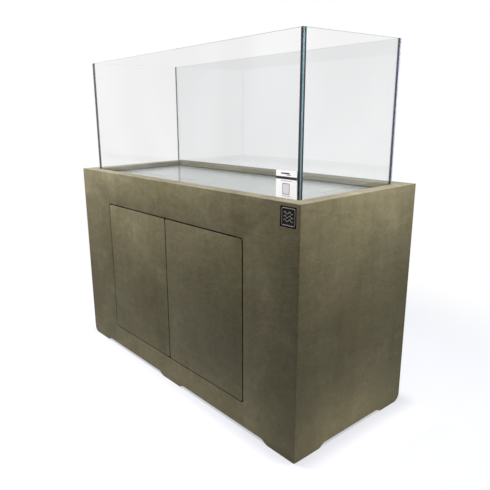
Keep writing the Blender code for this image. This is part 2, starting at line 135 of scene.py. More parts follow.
def node(tree, kind, inputs=None, **settings):
    """A shader node with its settings, and its inputs set to values or linked to sockets."""
    made = tree.nodes.new("ShaderNode" + kind)
    for name, value in settings.items():
        setattr(made, name, value)
    for name, value in (inputs or {}).items():
        if isinstance(value, bpy.types.NodeSocket):
            tree.links.new(value, made.inputs[name])
        else:
            made.inputs[name].default_value = value
    return made


def maths(tree, operation, first, second=0.0, third=None):
    inputs = {0: first, 1: second}
    if third is not None:
        inputs[2] = third
    return node(tree, "Math", inputs, operation=operation).outputs[0]


def vector_maths(tree, operation, first, second=None):
    inputs = {0: first}
    if second is not None:
        inputs[1] = second
    return node(tree, "VectorMath", inputs, operation=operation).outputs["Vector"]


def length(tree, vector):
    return node(tree, "VectorMath", {0: vector}, operation="LENGTH").outputs["Value"]


def colour_mix(tree, factor, first, second):
    """Mixes two colours; each is a socket or an (r, g, b) value."""
    mixed = node(tree, "Mix", {0: factor}, data_type="RGBA")
    for index, value in ((6, first), (7, second)):
        if isinstance(value, bpy.types.NodeSocket):
            tree.links.new(value, mixed.inputs[index])
        else:
            mixed.inputs[index].default_value = (*value, 1)
    return mixed.outputs[2]


def place_on(tree, scale=(1, 1, 1)):
    """The point on the piece, in metres, stretched by scale."""
    point = node(tree, "TexCoord").outputs["Object"]
    return node(tree, "Mapping", {"Vector": point, "Scale": scale}).outputs["Vector"]


def noise(tree, vector, scale, detail=3.0, roughness=0.5, distortion=0.0):
    inputs = {
        "Vector": vector, "Scale": scale, "Detail": detail,
        "Roughness": roughness, "Distortion": distortion,
    }
    return node(tree, "TexNoise", inputs).outputs["Fac"]


def ramp(tree, factor, low, high, to_low=0.0, to_high=1.0):
    inputs = {"Value": factor, "From Min": low, "From Max": high, "To Min": to_low, "To Max": to_high}
    return node(tree, "MapRange", inputs, interpolation_type="SMOOTHSTEP").outputs["Result"]


def bump(tree, height, distance, normal=None, strength=1.0):
    inputs = {"Height": height, "Distance": distance, "Strength": strength}
    if normal is not None:
        inputs["Normal"] = normal
    return node(tree, "Bump", inputs).outputs["Normal"]


def facing(tree, axis):
    """How squarely the surface faces along an axis, 0 to 1, from either side."""
    normal = node(tree, "NewGeometry").outputs["Normal"]
    parts = node(tree, "SeparateXYZ", {0: normal})
    return maths(tree, "ABSOLUTE", parts.outputs[axis])


def upward(tree):
    """How far the surface faces up, -1 to 1."""
    normal = node(tree, "NewGeometry").outputs["Normal"]
    return node(tree, "SeparateXYZ", {0: normal}).outputs["Z"]


def coordinate(tree, axis):
    point = node(tree, "TexCoord").outputs["Object"]
    return node(tree, "SeparateXYZ", {0: point}).outputs[axis]


# ---- Camera, lights, floor ----
CAMERA_PLACE = Vector((1.5585, -1.3021, 1.0395))
CAMERA_AZIMUTH, CAMERA_ELEVATION, CAMERA_ROLL = 51.536, 14.598, -1.058
CAMERA_LENS, CAMERA_SHIFT = 37.951, Vector((0.0690, 0.0001))
SEEN_WHITE = 1.0  # what the camera sees
SEEN_CLOUDS = 0.10  # how uneven the backdrop looks through the glass
WORLD_LIGHT = 0.042  # what lights the surfaces
CLOUD_STRETCH = (5.0, 5.0, 1.7)  # makes that unevenness wide and low
MIRRORED_DARK, MIRRORED_BRIGHT = 0.03, 0.80  # what polished surfaces reflect, in front and at the sides
MIRRORED_FRONT, MIRRORED_SIDE = -0.74, -0.40  # the Y of the directions between which it changes
FLOOR_HALF, FLOOR_DROP = 30, 0.0005  # half its side, and how far under the feet it lies
FLOOR_GLOW = 0.76  # how bright it looks near the stand
# painted shadow tint: the blue of the floor near the stand
FLOOR_SHADOW_TINT = (0.955, 0.968, 1.0)
FLOOR_NEAR, FLOOR_FAR = 0.9, 1.6  # it fades to white between these distances
FLOOR_LIGHT = 0.013  # how much the floor throws back
FLOOR_ALBEDO = 0.27
CONTACT_REACH, PAINTED_CONTACT_SHADOW = 0.075, 0.74  # a soft shadow painted into the floor round the feet: how far it reaches and how dark it gets
COOL_LIGHT, PALE_LIGHT = (0.965, 0.975, 1.09), (0.995, 0.98, 1.09)
WARM_LIGHT = (1.0, 0.965, 0.90)
LIGHTS = (
    # name, place, aim, size, power, colour
    ("top_softbox", (0.0, 0.0, 2.1), (0.0, 0.0, 0.8), (1.8, 1.1), 22.5, COOL_LIGHT),
    ("front_left_strip", (-0.85, -0.66, 1.5), (-0.55, -0.28, 0.7), (0.9, 0.3), 32, PALE_LIGHT),
    ("front_strip", (0.18, -0.50, 1.17), (0.18, -0.28, 0.76), (1.0, 0.2), 5.5, PALE_LIGHT),
    ("right_strip", (0.94, 0.05, 1.25), (0.65, 0.05, 0.68), (0.7, 0.2), 13.2, PALE_LIGHT),
    ("front_low", (-0.05, -0.41, 0.015), (-0.05, -0.28, 0.03), (1.2, 0.03), 0.34, WARM_LIGHT),
    ("side_low", (0.82, 0.0, 0.02), (0.65, 0.0, 0.04), (0.5, 0.04), 0.36, WARM_LIGHT),
)


def add_camera():
    azimuth, elevation = math.radians(CAMERA_AZIMUTH), math.radians(CAMERA_ELEVATION)
    level = math.cos(elevation)
    forward = Vector((-math.sin(azimuth) * level, math.cos(azimuth) * level, -math.sin(elevation)))
    camera = bpy.data.objects.new("camera", bpy.data.cameras.new("camera"))
    roll = Matrix.Rotation(math.radians(CAMERA_ROLL), 3, "Z")
    turn = forward.to_track_quat("-Z", "Y").to_matrix() @ roll
    camera.matrix_world = Matrix.Translation(CAMERA_PLACE) @ turn.to_4x4()
    camera.data.lens = CAMERA_LENS
    camera.data.shift_x, camera.data.shift_y = CAMERA_SHIFT
    bpy.context.scene.collection.objects.link(camera)
    bpy.context.scene.camera = camera


def add_area_light(name, place, target, size, power, colour):
    light = bpy.data.lights.new(name, "AREA")
    light.shape = "RECTANGLE"
    light.size, light.size_y = size
    light.energy = power
    light.color = colour
    obj = bpy.data.objects.new(name, light)
    obj.location = place
    obj.rotation_euler = (Vector(target) - Vector(place)).to_track_quat("-Z", "Y").to_euler()
    obj.visible_camera = False
    obj.visible_glossy = False
    obj.visible_transmission = False
    bpy.context.scene.collection.objects.link(obj)


def by_ray(tree, direction, seen, to_diffuse):
    """A strength that depends on which kind of ray meets the studio, and from which way it comes.

    The studio is dark in front of the doors and bright beside and behind the tank.
    """
    path = node(tree, "LightPath").outputs
    to_mirror = maths(tree, "SUBTRACT", path["Is Glossy Ray"], path["Is Transmission Ray"])
    to_mirror = node(tree, "Clamp", {0: to_mirror}).outputs[0]
    depth = node(tree, "SeparateXYZ", {0: direction}).outputs["Y"]
    mirrored = ramp(tree, depth, MIRRORED_FRONT, MIRRORED_SIDE, MIRRORED_DARK, MIRRORED_BRIGHT)
    stretched = vector_maths(tree, "MULTIPLY", direction, CLOUD_STRETCH)
    clouds = ramp(tree, noise(tree, stretched, 1.0, 2.0, 0.5), 0.35, 0.65, 0.0, SEEN_CLOUDS)
    through_glass = maths(tree, "MULTIPLY", clouds, path["Is Transmission Ray"])
    strength = maths(tree, "SUBTRACT", seen, through_glass)
    for kind, level in ((path["Is Diffuse Ray"], to_diffuse), (to_mirror, mirrored)):
        change = maths(tree, "SUBTRACT", level, strength)
        strength = maths(tree, "MULTIPLY_ADD", kind, change, strength)
    return strength


def add_world():
    world = bpy.data.worlds.new("studio")
    bpy.context.scene.world = world
    world.cycles.sampling_method = "NONE"  # so that every ray that meets it knows its own kind
    world.use_nodes = True
    tree = world.node_tree
    ground = tree.nodes["Background"]
    ground.inputs["Color"].default_value = (1, 1, 1, 1)
    direction = node(tree, "TexCoord").outputs["Generated"]
    tree.links.new(by_ray(tree, direction, SEEN_WHITE, WORLD_LIGHT), ground.inputs["Strength"])


def distance_to_stand(tree):
    """How far a point of the floor is from the stand's footprint."""
    spread = vector_maths(tree, "ABSOLUTE", place_on(tree))
    beyond = vector_maths(tree, "SUBTRACT", spread, (HALF_WIDTH, HALF_DEPTH, 1.0))
    return length(tree, vector_maths(tree, "MAXIMUM", beyond, (0, 0, 0)))


def floor_material():
    """White, brighter than the light it throws back, with a painted blue-tinted shadow round the feet."""
    made = bpy.data.materials.new("studio_floor")
    made.cycles.emission_sampling = "NONE"
    made.use_nodes = True
    tree = made.node_tree
    tree.nodes.clear()
    away = length(tree, place_on(tree))
    fade = ramp(tree, away, FLOOR_NEAR, FLOOR_FAR)
    # painted contact shadow: the floor's glow darkens towards the stand's footprint
    shade = ramp(tree, distance_to_stand(tree), 0.0, CONTACT_REACH, PAINTED_CONTACT_SHADOW, 1.0)
    seen = maths(tree, "MULTIPLY", ramp(tree, away, FLOOR_NEAR, FLOOR_FAR, FLOOR_GLOW, 1.0), shade)
    from_tank = vector_maths(tree, "SUBTRACT", place_on(tree), (0, 0, STAND_HEIGHT))
    strength = by_ray(tree, vector_maths(tree, "NORMALIZE", from_tank), seen, FLOOR_LIGHT)
    tint = colour_mix(tree, fade, FLOOR_SHADOW_TINT, (1, 1, 1))
    glow = node(tree, "Emission", {"Color": tint, "Strength": strength})
    albedo = colour_mix(tree, fade, [FLOOR_ALBEDO] * 3, (0, 0, 0))
    lit = node(tree, "BsdfDiffuse", {"Color": albedo})
    both = node(tree, "AddShader", {0: glow.outputs[0], 1: lit.outputs[0]})
    node(tree, "OutputMaterial", {"Surface": both.outputs[0]})
    return made


def add_floor():
    """A wide floor just under the feet."""
    mesh = bpy.data.meshes.new("studio_floor")
    bm = bmesh.new()
    bmesh.ops.create_grid(bm, x_segments=1, y_segments=1, size=FLOOR_HALF)
    bm.to_mesh(mesh)
    bm.free()
    floor = bpy.data.objects.new("studio_floor", mesh)
    floor.location.z = -FLOOR_DROP
    bpy.context.scene.collection.objects.link(floor)
    mesh.materials.append(floor_material())


# ---- Materials ----
CEMENT_DARK = (0.094, 0.084, 0.042)
CEMENT_MID = (0.128, 0.116, 0.061)
CEMENT_PALE = (0.180, 0.165, 0.096)
CEMENT_WARM = (0.144, 0.115, 0.066)
# painted shade inside the pinholes
CEMENT_PINHOLE_SHADE = (0.05, 0.043, 0.03)
CEMENT_TOP_SHEEN = (0.94, 0.94, 1.15)  # painted cool sheen: how the upward faces differ under the top light


def cement_tone(tree, flat, patches, sweeps):
    """The cloudy light and dark, 0 to 1, at four scales."""
    clouds = noise(tree, flat, 3.4, 4.0, 0.55, 0.6)
    streaks = noise(tree, place_on(tree, (26, 26, 2.2)), 1.0, 4.0, 0.6, 0.4)
    tone = maths(tree, "MULTIPLY", clouds, 0.34)
    tone = maths(tree, "MULTIPLY_ADD", patches, 0.30, tone)
    tone = maths(tree, "MULTIPLY_ADD", streaks, 0.16, tone)
    return maths(tree, "MULTIPLY_ADD", sweeps, 0.20, tone)


def cement_body(tree, flat, tone, grain):
    """The colour: dark, middle and pale by tone, warm in places, speckled, with a painted cool sheen on top."""
    body = colour_mix(tree, ramp(tree, tone, 0.38, 0.52), CEMENT_DARK, CEMENT_MID)
    body = colour_mix(tree, ramp(tree, tone, 0.50, 0.64), body, CEMENT_PALE)
    warmth = noise(tree, place_on(tree, (1, 1, 1.6)), 7.0, 3.0, 0.5, 0.3)
    body = colour_mix(tree, ramp(tree, warmth, 0.45, 0.70, 0.0, 0.35), body, CEMENT_WARM)
    mottle = noise(tree, flat, 70.0, 5.0, 0.72, 0.5)
    fine = ramp(tree, grain, 0.30, 0.72, 0.86, 1.12)
    speck = maths(tree, "MULTIPLY", fine, ramp(tree, mottle, 0.30, 0.70, 0.90, 1.10))
    body = node(tree, "VectorMath", {0: body, "Scale": speck}, operation="SCALE").outputs["Vector"]
    # painted sheen: the upward faces tinted cooler, as the top light shows them
    top_sheen = vector_maths(tree, "MULTIPLY", body, CEMENT_TOP_SHEEN)
    return colour_mix(tree, ramp(tree, upward(tree), 0.5, 0.8), body, top_sheen)


def cement_pinholes(tree, flat):
    """Where the pinholes are, 0 to 1."""
    pits = node(tree, "TexVoronoi", {"Vector": flat, "Scale": 75.0, "Randomness": 1.0})
    hollow = ramp(tree, pits.outputs["Distance"], 0.13, 0.07)
    return maths(tree, "MULTIPLY", hollow, ramp(tree, noise(tree, flat, 22.0, 2.0), 0.58, 0.68))


def cement():
    """Matte trowelled cement: cloudy patches, faint upright streaks, fine grain, pinholes in painted shade."""
    made, tree, shader = new_material("cement_finish")
    flat = place_on(tree)
    patches = noise(tree, flat, 15.0, 7.0, 0.68, 0.9)
    sweeps = noise(tree, place_on(tree, (5, 5, 15)), 1.0, 5.0, 0.65, 1.4)
    grain = noise(tree, flat, 420.0, 3.0, 0.7)
    hole = cement_pinholes(tree, flat)
    body = cement_body(tree, flat, cement_tone(tree, flat, patches, sweeps), grain)
    # painted shade darkens the pinholes
    body = colour_mix(tree, maths(tree, "MULTIPLY", hole, 0.55), body, CEMENT_PINHOLE_SHADE)
    tree.links.new(body, shader.inputs["Base Color"])
    tree.links.new(ramp(tree, patches, 0.30, 0.72, 0.60, 0.82), shader.inputs["Roughness"])
    shader.inputs["Specular IOR Level"].default_value = 0.32
    relief = bump(tree, sweeps, 0.0016)
    relief = bump(tree, patches, 0.0009, relief)
    relief = bump(tree, grain, 0.00035, relief, 0.8)
    relief = bump(tree, maths(tree, "SUBTRACT", 1.0, hole), 0.0006, relief)
    tree.links.new(relief, shader.inputs["Normal"])
    return made


PLY = 0.0028  # one light and one dark layer


def board(name, thickness_axis, grain_axis):
    """Birch plywood: long grain on its faces, plies on its edges."""
    made, tree, shader = new_material(name)
    stretch = [38.0, 38.0, 38.0]
    stretch["XYZ".index(grain_axis)] = 1.6
    figure = noise(tree, place_on(tree, stretch), 1.0, 6.0, 0.62, 0.8)
    fibre_scale = [520.0, 520.0, 520.0]
    fibre_scale["XYZ".index(grain_axis)] = 9.0
    fibre = noise(tree, place_on(tree, fibre_scale), 1.0, 2.0, 0.5)
    face = colour_mix(tree, ramp(tree, figure, 0.35, 0.68), (0.66, 0.49, 0.31), (0.50, 0.345, 0.20))
    face = colour_mix(tree, ramp(tree, fibre, 0.45, 0.75, 0.0, 0.35), face, (0.40, 0.27, 0.15))
    plies = maths(tree, "FRACT", maths(tree, "MULTIPLY", coordinate(tree, thickness_axis), 1 / PLY))
    ply = colour_mix(tree, ramp(tree, plies, 0.42, 0.55), (0.60, 0.45, 0.29), (0.33, 0.21, 0.12))
    on_edge = ramp(tree, facing(tree, thickness_axis), 0.6, 0.4)
    tree.links.new(colour_mix(tree, on_edge, face, ply), shader.inputs["Base Color"])
    tree.links.new(ramp(tree, fibre, 0.3, 0.7, 0.48, 0.68), shader.inputs["Roughness"])
    tree.links.new(bump(tree, fibre, 0.0002), shader.inputs["Normal"])
    return made


def gap_shade_board():
    """Near-black board inside the walls and on the doors' edges: painted shade for the gaps and the cabinet."""
    made, tree, shader = new_material("painted_shade_board")
    flat = place_on(tree)
    cloud = noise(tree, flat, 9.0, 5.0, 0.6)
    grain = noise(tree, flat, 300.0, 2.0, 0.6)
    # near-black: painted shade that makes the door gaps and the inside look dark
    body = colour_mix(tree, ramp(tree, cloud, 0.35, 0.7), (0.014, 0.012, 0.010), (0.024, 0.021, 0.017))
    tree.links.new(body, shader.inputs["Base Color"])
    tree.links.new(ramp(tree, grain, 0.3, 0.7, 0.62, 0.8), shader.inputs["Roughness"])
    tree.links.new(bump(tree, grain, 0.0002), shader.inputs["Normal"])
    return made


PANE_TINT = (0.992, 0.995, 0.992)
BACK_TINT = (0.87, 0.885, 0.895)
FLOOR_GLASS_TINT = (0.95, 0.965, 0.95)
EDGE_TEAL = (0.062, 0.118, 0.120)
EDGE_BLUE = (0.165, 0.185, 0.225)
EDGE_DARK = (0.014, 0.016, 0.018)
EDGE_TOP = (0.10, 0.105, 0.105)
END_CLEAR, END_DARK = 0.0052, 0.0066  # depths between which a polished end darkens to its seam
PANE_SHADOW = (0.95, 0.96, 0.96, 1)


def pane_edge(tree, end, end_is_polished):
    """The pane's narrow faces: coloured where polished, dark where bonded to black silicone."""
    edge = node(tree, "BsdfPrincipled", {"Roughness": 0.22, "IOR": 1.5})
    cloud = noise(tree, place_on(tree, (40, 40, 7)), 1.0, 3.0, 0.5)
    body = colour_mix(tree, ramp(tree, cloud, 0.3, 0.7), [c * 0.85 for c in end], [c * 1.15 for c in end])
    if end_is_polished:
        outward = maths(tree, "ABSOLUTE", coordinate(tree, "Y"))
        near_seam = ramp(tree, outward, TANK_HIGH.y - END_CLEAR, TANK_HIGH.y - END_DARK)
        body = colour_mix(tree, near_seam, body, EDGE_DARK)
    up = upward(tree)
    body = colour_mix(tree, ramp(tree, up, 0.5, 0.8), body, EDGE_TOP)
    body = colour_mix(tree, ramp(tree, up, -0.5, -0.8), body, EDGE_DARK)
    tree.links.new(body, edge.inputs["Base Color"])
    return edge.outputs[0]


def pane_glass(name, thin_axis, tint, end, end_is_polished, roughness=0.0):
    """Clear float glass; its narrow faces are those that turn away from the thin axis."""
    made, tree, shader = new_material(name)
    shader.inputs["Base Color"].default_value = (*tint, 1)
    shader.inputs["Roughness"].default_value = roughness
    shader.inputs["IOR"].default_value = 1.5
    shader.inputs["Transmission Weight"].default_value = 1.0
    edge = pane_edge(tree, end, end_is_polished)
    on_edge = ramp(tree, facing(tree, thin_axis), 0.75, 0.60)
    surface = node(tree, "MixShader", {0: on_edge, 1: shader.outputs[0], 2: edge}).outputs[0]
    open_pane = node(tree, "BsdfTransparent", {"Color": PANE_SHADOW}).outputs[0]
    is_shadow = node(tree, "LightPath").outputs["Is Shadow Ray"]
    lit = node(tree, "MixShader", {0: is_shadow, 1: surface, 2: open_pane}).outputs[0]
    tree.links.new(lit, tree.nodes["Material Output"].inputs["Surface"])
    return made


def silicone():
    """Black silicone with a slight ripple along the bead."""
    made, tree, shader = new_material("black_silicone")
    ripple = noise(tree, place_on(tree, (60, 60, 18)), 1.0, 3.0, 0.5)
    body = colour_mix(tree, ripple, (0.004, 0.005, 0.006), (0.010, 0.011, 0.012))
    shader.inputs["Specular IOR Level"].default_value = 0.08
    tree.links.new(body, shader.inputs["Base Color"])
    tree.links.new(ramp(tree, ripple, 0.3, 0.7, 0.24, 0.40), shader.inputs["Roughness"])
    tree.links.new(bump(tree, ripple, 0.0004), shader.inputs["Normal"])
    return made


def foam():
    """Pale closed-cell foam, its cell pits darkened by painted shade."""
    made, tree, shader = new_material("white_foam")
    cells = node(tree, "TexVoronoi", {"Vector": place_on(tree), "Scale": 420.0}).outputs["Distance"]
    cloud = noise(tree, place_on(tree), 5.0, 3.0, 0.5)
    body = colour_mix(tree, ramp(tree, cloud, 0.3, 0.7), (0.320, 0.342, 0.305), (0.352, 0.372, 0.334))
    # painted shade in the cell pits
    body = colour_mix(tree, ramp(tree, cells, 0.1, 0.6, 0.12, 0.0), body, (0.14, 0.145, 0.137))
    tree.links.new(body, shader.inputs["Base Color"])
    shader.inputs["Roughness"].default_value = 0.9
    tree.links.new(bump(tree, cells, 0.0003), shader.inputs["Normal"])
    return made


def metal(name, dark, light, roughness):
    """Satin metal with a fine, even grain."""
    made, tree, shader = new_material(name)
    lines = noise(tree, place_on(tree, (30, 30, 30)), 20.0, 4.0, 0.6)
    tree.links.new(colour_mix(tree, lines, dark, light), shader.inputs["Base Color"])
    tree.links.new(ramp(tree, lines, 0.3, 0.7, roughness * 0.8, roughness * 1.3), shader.inputs["Roughness"])
    shader.inputs["Metallic"].default_value = 1.0
    tree.links.new(bump(tree, lines, 0.00006), shader.inputs["Normal"])
    return made


def bronze(name, dark, light):
    """Patinated bronze."""
    made, tree, shader = new_material(name)
    patina = noise(tree, place_on(tree), 260.0, 5.0, 0.6)
    tree.links.new(colour_mix(tree, ramp(tree, patina, 0.3, 0.7), dark, light), shader.inputs["Base Color"])
    tree.links.new(ramp(tree, patina, 0.3, 0.7, 0.42, 0.66), shader.inputs["Roughness"])
    shader.inputs["Metallic"].default_value = 0.25
    shader.inputs["Specular IOR Level"].default_value = 0.20
    tree.links.new(bump(tree, patina, 0.0003), shader.inputs["Normal"])
    return made


def plastic():
    """Grey moulded plastic."""
    made, tree, shader = new_material("grey_plastic")
    grain = noise(tree, place_on(tree), 900.0, 2.0, 0.5)
    body = colour_mix(tree, grain, (0.20, 0.20, 0.21), (0.27, 0.27, 0.28))
    tree.links.new(body, shader.inputs["Base Color"])
    shader.inputs["Roughness"].default_value = 0.5
    tree.links.new(bump(tree, grain, 0.0001), shader.inputs["Normal"])
    return made


def paper(name, light, dark):
    """Uncoated paper or flat ink on it."""
    made, tree, shader = new_material(name)
    fibre = noise(tree, place_on(tree), 700.0, 4.0, 0.6)
    tree.links.new(colour_mix(tree, ramp(tree, fibre, 0.3, 0.7), light, dark), shader.inputs["Base Color"])
    shader.inputs["Roughness"].default_value = 0.65
    tree.links.new(bump(tree, fibre, 0.00005), shader.inputs["Normal"])
    return made


# ---- Mesh helpers ----
def box_mesh(low, high):
    low, high = Vector(low), Vector(high)
    bm = bmesh.new()
    bmesh.ops.create_cube(bm, size=1)
    bmesh.ops.scale(bm, vec=high - low, verts=bm.verts)
    bmesh.ops.translate(bm, vec=(low + high) / 2, verts=bm.verts)
    return bm


def bevel(bm, edges, radius, segments):
    bmesh.ops.bevel(
        bm, geom=list(edges), offset=radius, segments=segments, profile=0.5,
        affect="EDGES", clamp_overlap=True,
    )


def sharp_edges(bm):
    return [e for e in bm.edges if len(e.link_faces) == 2 and e.calc_face_angle() > SHARP_ANGLE]


def prism_mesh(outline, axis, start, end):
    """A closed outline extruded along an axis; its points are (across, up), or (x, y) along Z."""
    place = {
        "X": lambda a, b, d: (d, a, b),
        "Y": lambda a, b, d: (a, d, b),
        "Z": lambda a, b, d: (a, b, d),
    }[axis]
    bm = bmesh.new()
    face = bm.faces.new([bm.verts.new(place(a, b, start)) for a, b in outline])
    grown = bmesh.ops.extrude_face_region(bm, geom=[face])
    moved = [v for v in grown["geom"] if isinstance(v, bmesh.types.BMVert)]
    shift = Vector(place(0, 0, end)) - Vector(place(0, 0, start))
    bmesh.ops.translate(bm, vec=shift, verts=moved)
    bmesh.ops.recalc_face_normals(bm, faces=bm.faces)
    return bm


def rounded_rectangle(centre, size, radius, steps=10):
    points = []
    for turn, (sx, sy) in enumerate(((1, 1), (-1, 1), (-1, -1), (1, -1))):
        corner = (centre[0] + sx * (size[0] / 2 - radius), centre[1] + sy * (size[1] / 2 - radius))
        for step in range(steps + 1):
            angle = math.pi / 2 * (turn + step / steps)
            points.append((corner[0] + radius * math.cos(angle), corner[1] + radius * math.sin(angle)))
    return points


def mesh_object(name, bm, *materials):
    bmesh.ops.recalc_face_normals(bm, faces=bm.faces)
    mesh = bpy.data.meshes.new(name)
    bm.to_mesh(mesh)
    bm.free()
    for made in materials:
        mesh.materials.append(made)
    obj = bpy.data.objects.new(name, mesh)
    bpy.context.scene.collection.objects.link(obj)
    return obj


def smooth(obj):
    obj.data.shade_smooth()
    obj.data.set_sharp_from_angle(angle=SMOOTH_ANGLE)


def cut(obj, bm, operation="DIFFERENCE"):
    """Cuts obj by the shape in bm, at once."""
    cutter = mesh_object("cutter", bm)
    modifier = obj.modifiers.new("cut", "BOOLEAN")
    modifier.object = cutter
    modifier.operation = operation
    modifier.solver = "EXACT"
    bpy.context.view_layer.update()
    graph = bpy.context.evaluated_depsgraph_get()
    result = bpy.data.meshes.new_from_object(obj.evaluated_get(graph))
    obj.modifiers.clear()
    obj.data = result
    bpy.data.objects.remove(cutter)


def stands_for(obj, body, slot, *nodes):
    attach(obj, body)
    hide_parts(*nodes)


# ---- Cement walls ----
def foot_notch(start, end):
    """The raised stretch between two feet, with an ogee at each end."""
    steps = 14
    rise = []
    for k in range(steps + 1):
        height = FOOT_LIFT * (1 - math.cos(math.pi * k / steps)) / 2
        rise.append((start + OGEE * k / steps, height))
    fall = [(end - (a - start), b) for a, b in reversed(rise)]
    return [(start, -FOOT_LIFT)] + rise + fall + [(end, -FOOT_LIFT)]


def wall_block():
    block = box_mesh(STAND_LOW, STAND_HIGH)
    low = [v for v in block.verts if v.co.z < MERGE]
    front_right = [v for v in low if v.co.x > 0 and v.co.y < 0]
    others = [v for v in low if v not in front_right]
    for corners, radius, segments in ((others, CORNER_ROUND, 10), (front_right, FRONT_RIGHT_ROUND, 4)):
        bmesh.ops.bevel(
            block, geom=corners, offset=radius, segments=segments, profile=0.5,
            affect="VERTICES", clamp_overlap=True,
        )
    long = [e for e in sharp_edges(block)
            if e.calc_length() > CORNER_ROUND and any(v.co.z > MERGE for v in e.verts)]
    bevel(block, long, EDGE_ROUND, 5)
    return block


def ring_of(bm, test):
    """The sharp edges whose both ends pass a test of their place."""
    return [e for e in sharp_edges(bm) if all(test(v.co) for v in e.verts)]


def near(a, b):
    return abs(a - b) < 2 * MERGE


def ease_openings(shell):
    """Rounds the edges of the door opening, the hose ports and the rim's inside."""
    bm = bmesh.new()
    bm.from_mesh(shell.data)
    bmesh.ops.remove_doubles(bm, verts=bm.verts, dist=MERGE)
    half_x, low, high = DOOR_HIGH.x + DOOR_GAP, DOOR_LOW.z - DOOR_GAP, DOOR_HIGH.z + DOOR_GAP

    def at_opening(p):
        return near(p.y, FRONT) and abs(p.x) < half_x + MERGE and low - MERGE < p.z < high + MERGE

    bevel(bm, ring_of(bm, at_opening), OPENING_ROUND, 4)
    inner_x, inner_y = HALF_WIDTH - RIM_WIDTH, HALF_DEPTH - RIM_WIDTH

    def at_rim(p):
        return near(p.z, STAND_HEIGHT) and abs(p.x) < inner_x + MERGE and abs(p.y) < inner_y + MERGE

    bevel(bm, ring_of(bm, at_rim), RIM_INNER_ROUND, 4)

    def at_port(p):
        at_height = abs(p.z - HOSE_PORT_PLACE.y) < HOSE_PORT.y
        return near(p.y, HALF_DEPTH) and at_height and abs(p.x) < HALF_WIDTH - CUT

    bevel(bm, ring_of(bm, at_port), PORT_ROUND, 3)
    bm.to_mesh(shell.data)
    bm.free()


def paint_inside(obj):
    """Gives the faces inside the cabinet and round the doors the second material, the painted shade."""
    reveal_x = DOOR_HIGH.x + 2 * DOOR_GAP
    reveal_low, reveal_high = DOOR_LOW.z - 2 * DOOR_GAP, DOOR_HIGH.z + 2 * DOOR_GAP
    for face in obj.data.polygons:
        p, n = face.center, face.normal
        inside = abs(p.x) < HALF_WIDTH - WALL + MERGE and abs(p.y) < HALF_DEPTH - WALL + MERGE
        in_reveal = FRONT + OPENING_ROUND < p.y < FRONT + WALL and abs(p.x) < reveal_x
        if inside and p.z < RIM_UNDERSIDE + MERGE and n.z < 0.5:
            face.material_index = 1
        elif in_reveal and reveal_low < p.z < reveal_high:
            face.material_index = 1


def paint_door_edges(obj):
    """Gives a door's edges and back the second material, the painted shade."""
    for face in obj.data.polygons:
        if face.normal.y > -0.05:
            face.material_index = 1


def mitre_wedge(side):
    """The part of the plan that belongs to one wall."""
    wide, deep, ridge = HALF_WIDTH + CUT, HALF_DEPTH + CUT, HALF_WIDTH - HALF_DEPTH
    front = [(-wide, -deep), (wide, -deep), (ridge, 0), (-ridge, 0)]
    right = [(wide, -deep), (wide, deep), (ridge, 0)]
    outline = {
        "front": [(x, y - MITRE_GAP) for x, y in front],
        "back": [(x, MITRE_GAP - y) for x, y in front],
        "right": [(x + MITRE_GAP, y) for x, y in right],
        "left": [(-x - MITRE_GAP, y) for x, y in right],
    }[side]
    return prism_mesh(outline, "Z", -CUT, STAND_HEIGHT + CUT)


def cut_inside(shell):
    """The hollow up to the rim, then the well in the rim that takes the tank."""
    hollow = Vector((HALF_WIDTH - WALL, HALF_DEPTH - WALL, 0))
    cut(shell, box_mesh(-hollow - Vector((0, 0, CUT)), hollow + Vector((0, 0, RIM_UNDERSIDE))))
    well = Vector((HALF_WIDTH - RIM_WIDTH, HALF_DEPTH - RIM_WIDTH, 0))
    cut(shell, box_mesh(Vector((0, 0, CUT)) - well, well + Vector((0, 0, STAND_HEIGHT + CUT))))


def cut_feet(shell):
    """The gaps between the feet: two through the front and back, one through both sides."""
    for span in ((LEFT_FOOT - HALF_WIDTH, -CENTRE_FOOT_HALF), (CENTRE_FOOT_HALF, HALF_WIDTH - RIGHT_FOOT)):
        cut(shell, prism_mesh(foot_notch(*span), "Y", FRONT - CUT, HALF_DEPTH + CUT))
    side = HALF_DEPTH - SIDE_FOOT
    cut(shell, prism_mesh(foot_notch(-side, side), "X", -HALF_WIDTH - CUT, HALF_WIDTH + CUT))


def cut_openings(shell):
    """The door opening and the two hose ports."""
    centre = (0, (DOOR_LOW.z + DOOR_HIGH.z) / 2)
    size = (2 * (DOOR_HIGH.x + DOOR_GAP), DOOR_HIGH.z - DOOR_LOW.z + 2 * DOOR_GAP)
    opening = rounded_rectangle(centre, size, DOOR_CORNER + DOOR_GAP)
    cut(shell, prism_mesh(opening, "Y", FRONT - CUT, FRONT + WALL + CUT))
    for sign in (-1, 1):
        place = (sign * HOSE_PORT_PLACE.x, HOSE_PORT_PLACE.y)
        port = rounded_rectangle(place, HOSE_PORT, HOSE_PORT_CORNER)
        cut(shell, prism_mesh(port, "Y", HALF_DEPTH - WALL - CUT, HALF_DEPTH + CUT))


def cut_badge_pocket(shell):
    middle = (BADGE_LOW + BADGE_HIGH) / 2
    half = BADGE_POCKET / 2
    low = (middle.x - half, FRONT - CUT, middle.z - half)
    high = (middle.x + half, FRONT + BADGE_POCKET_DEPTH, middle.z + half)
    cut(shell, box_mesh(low, high))


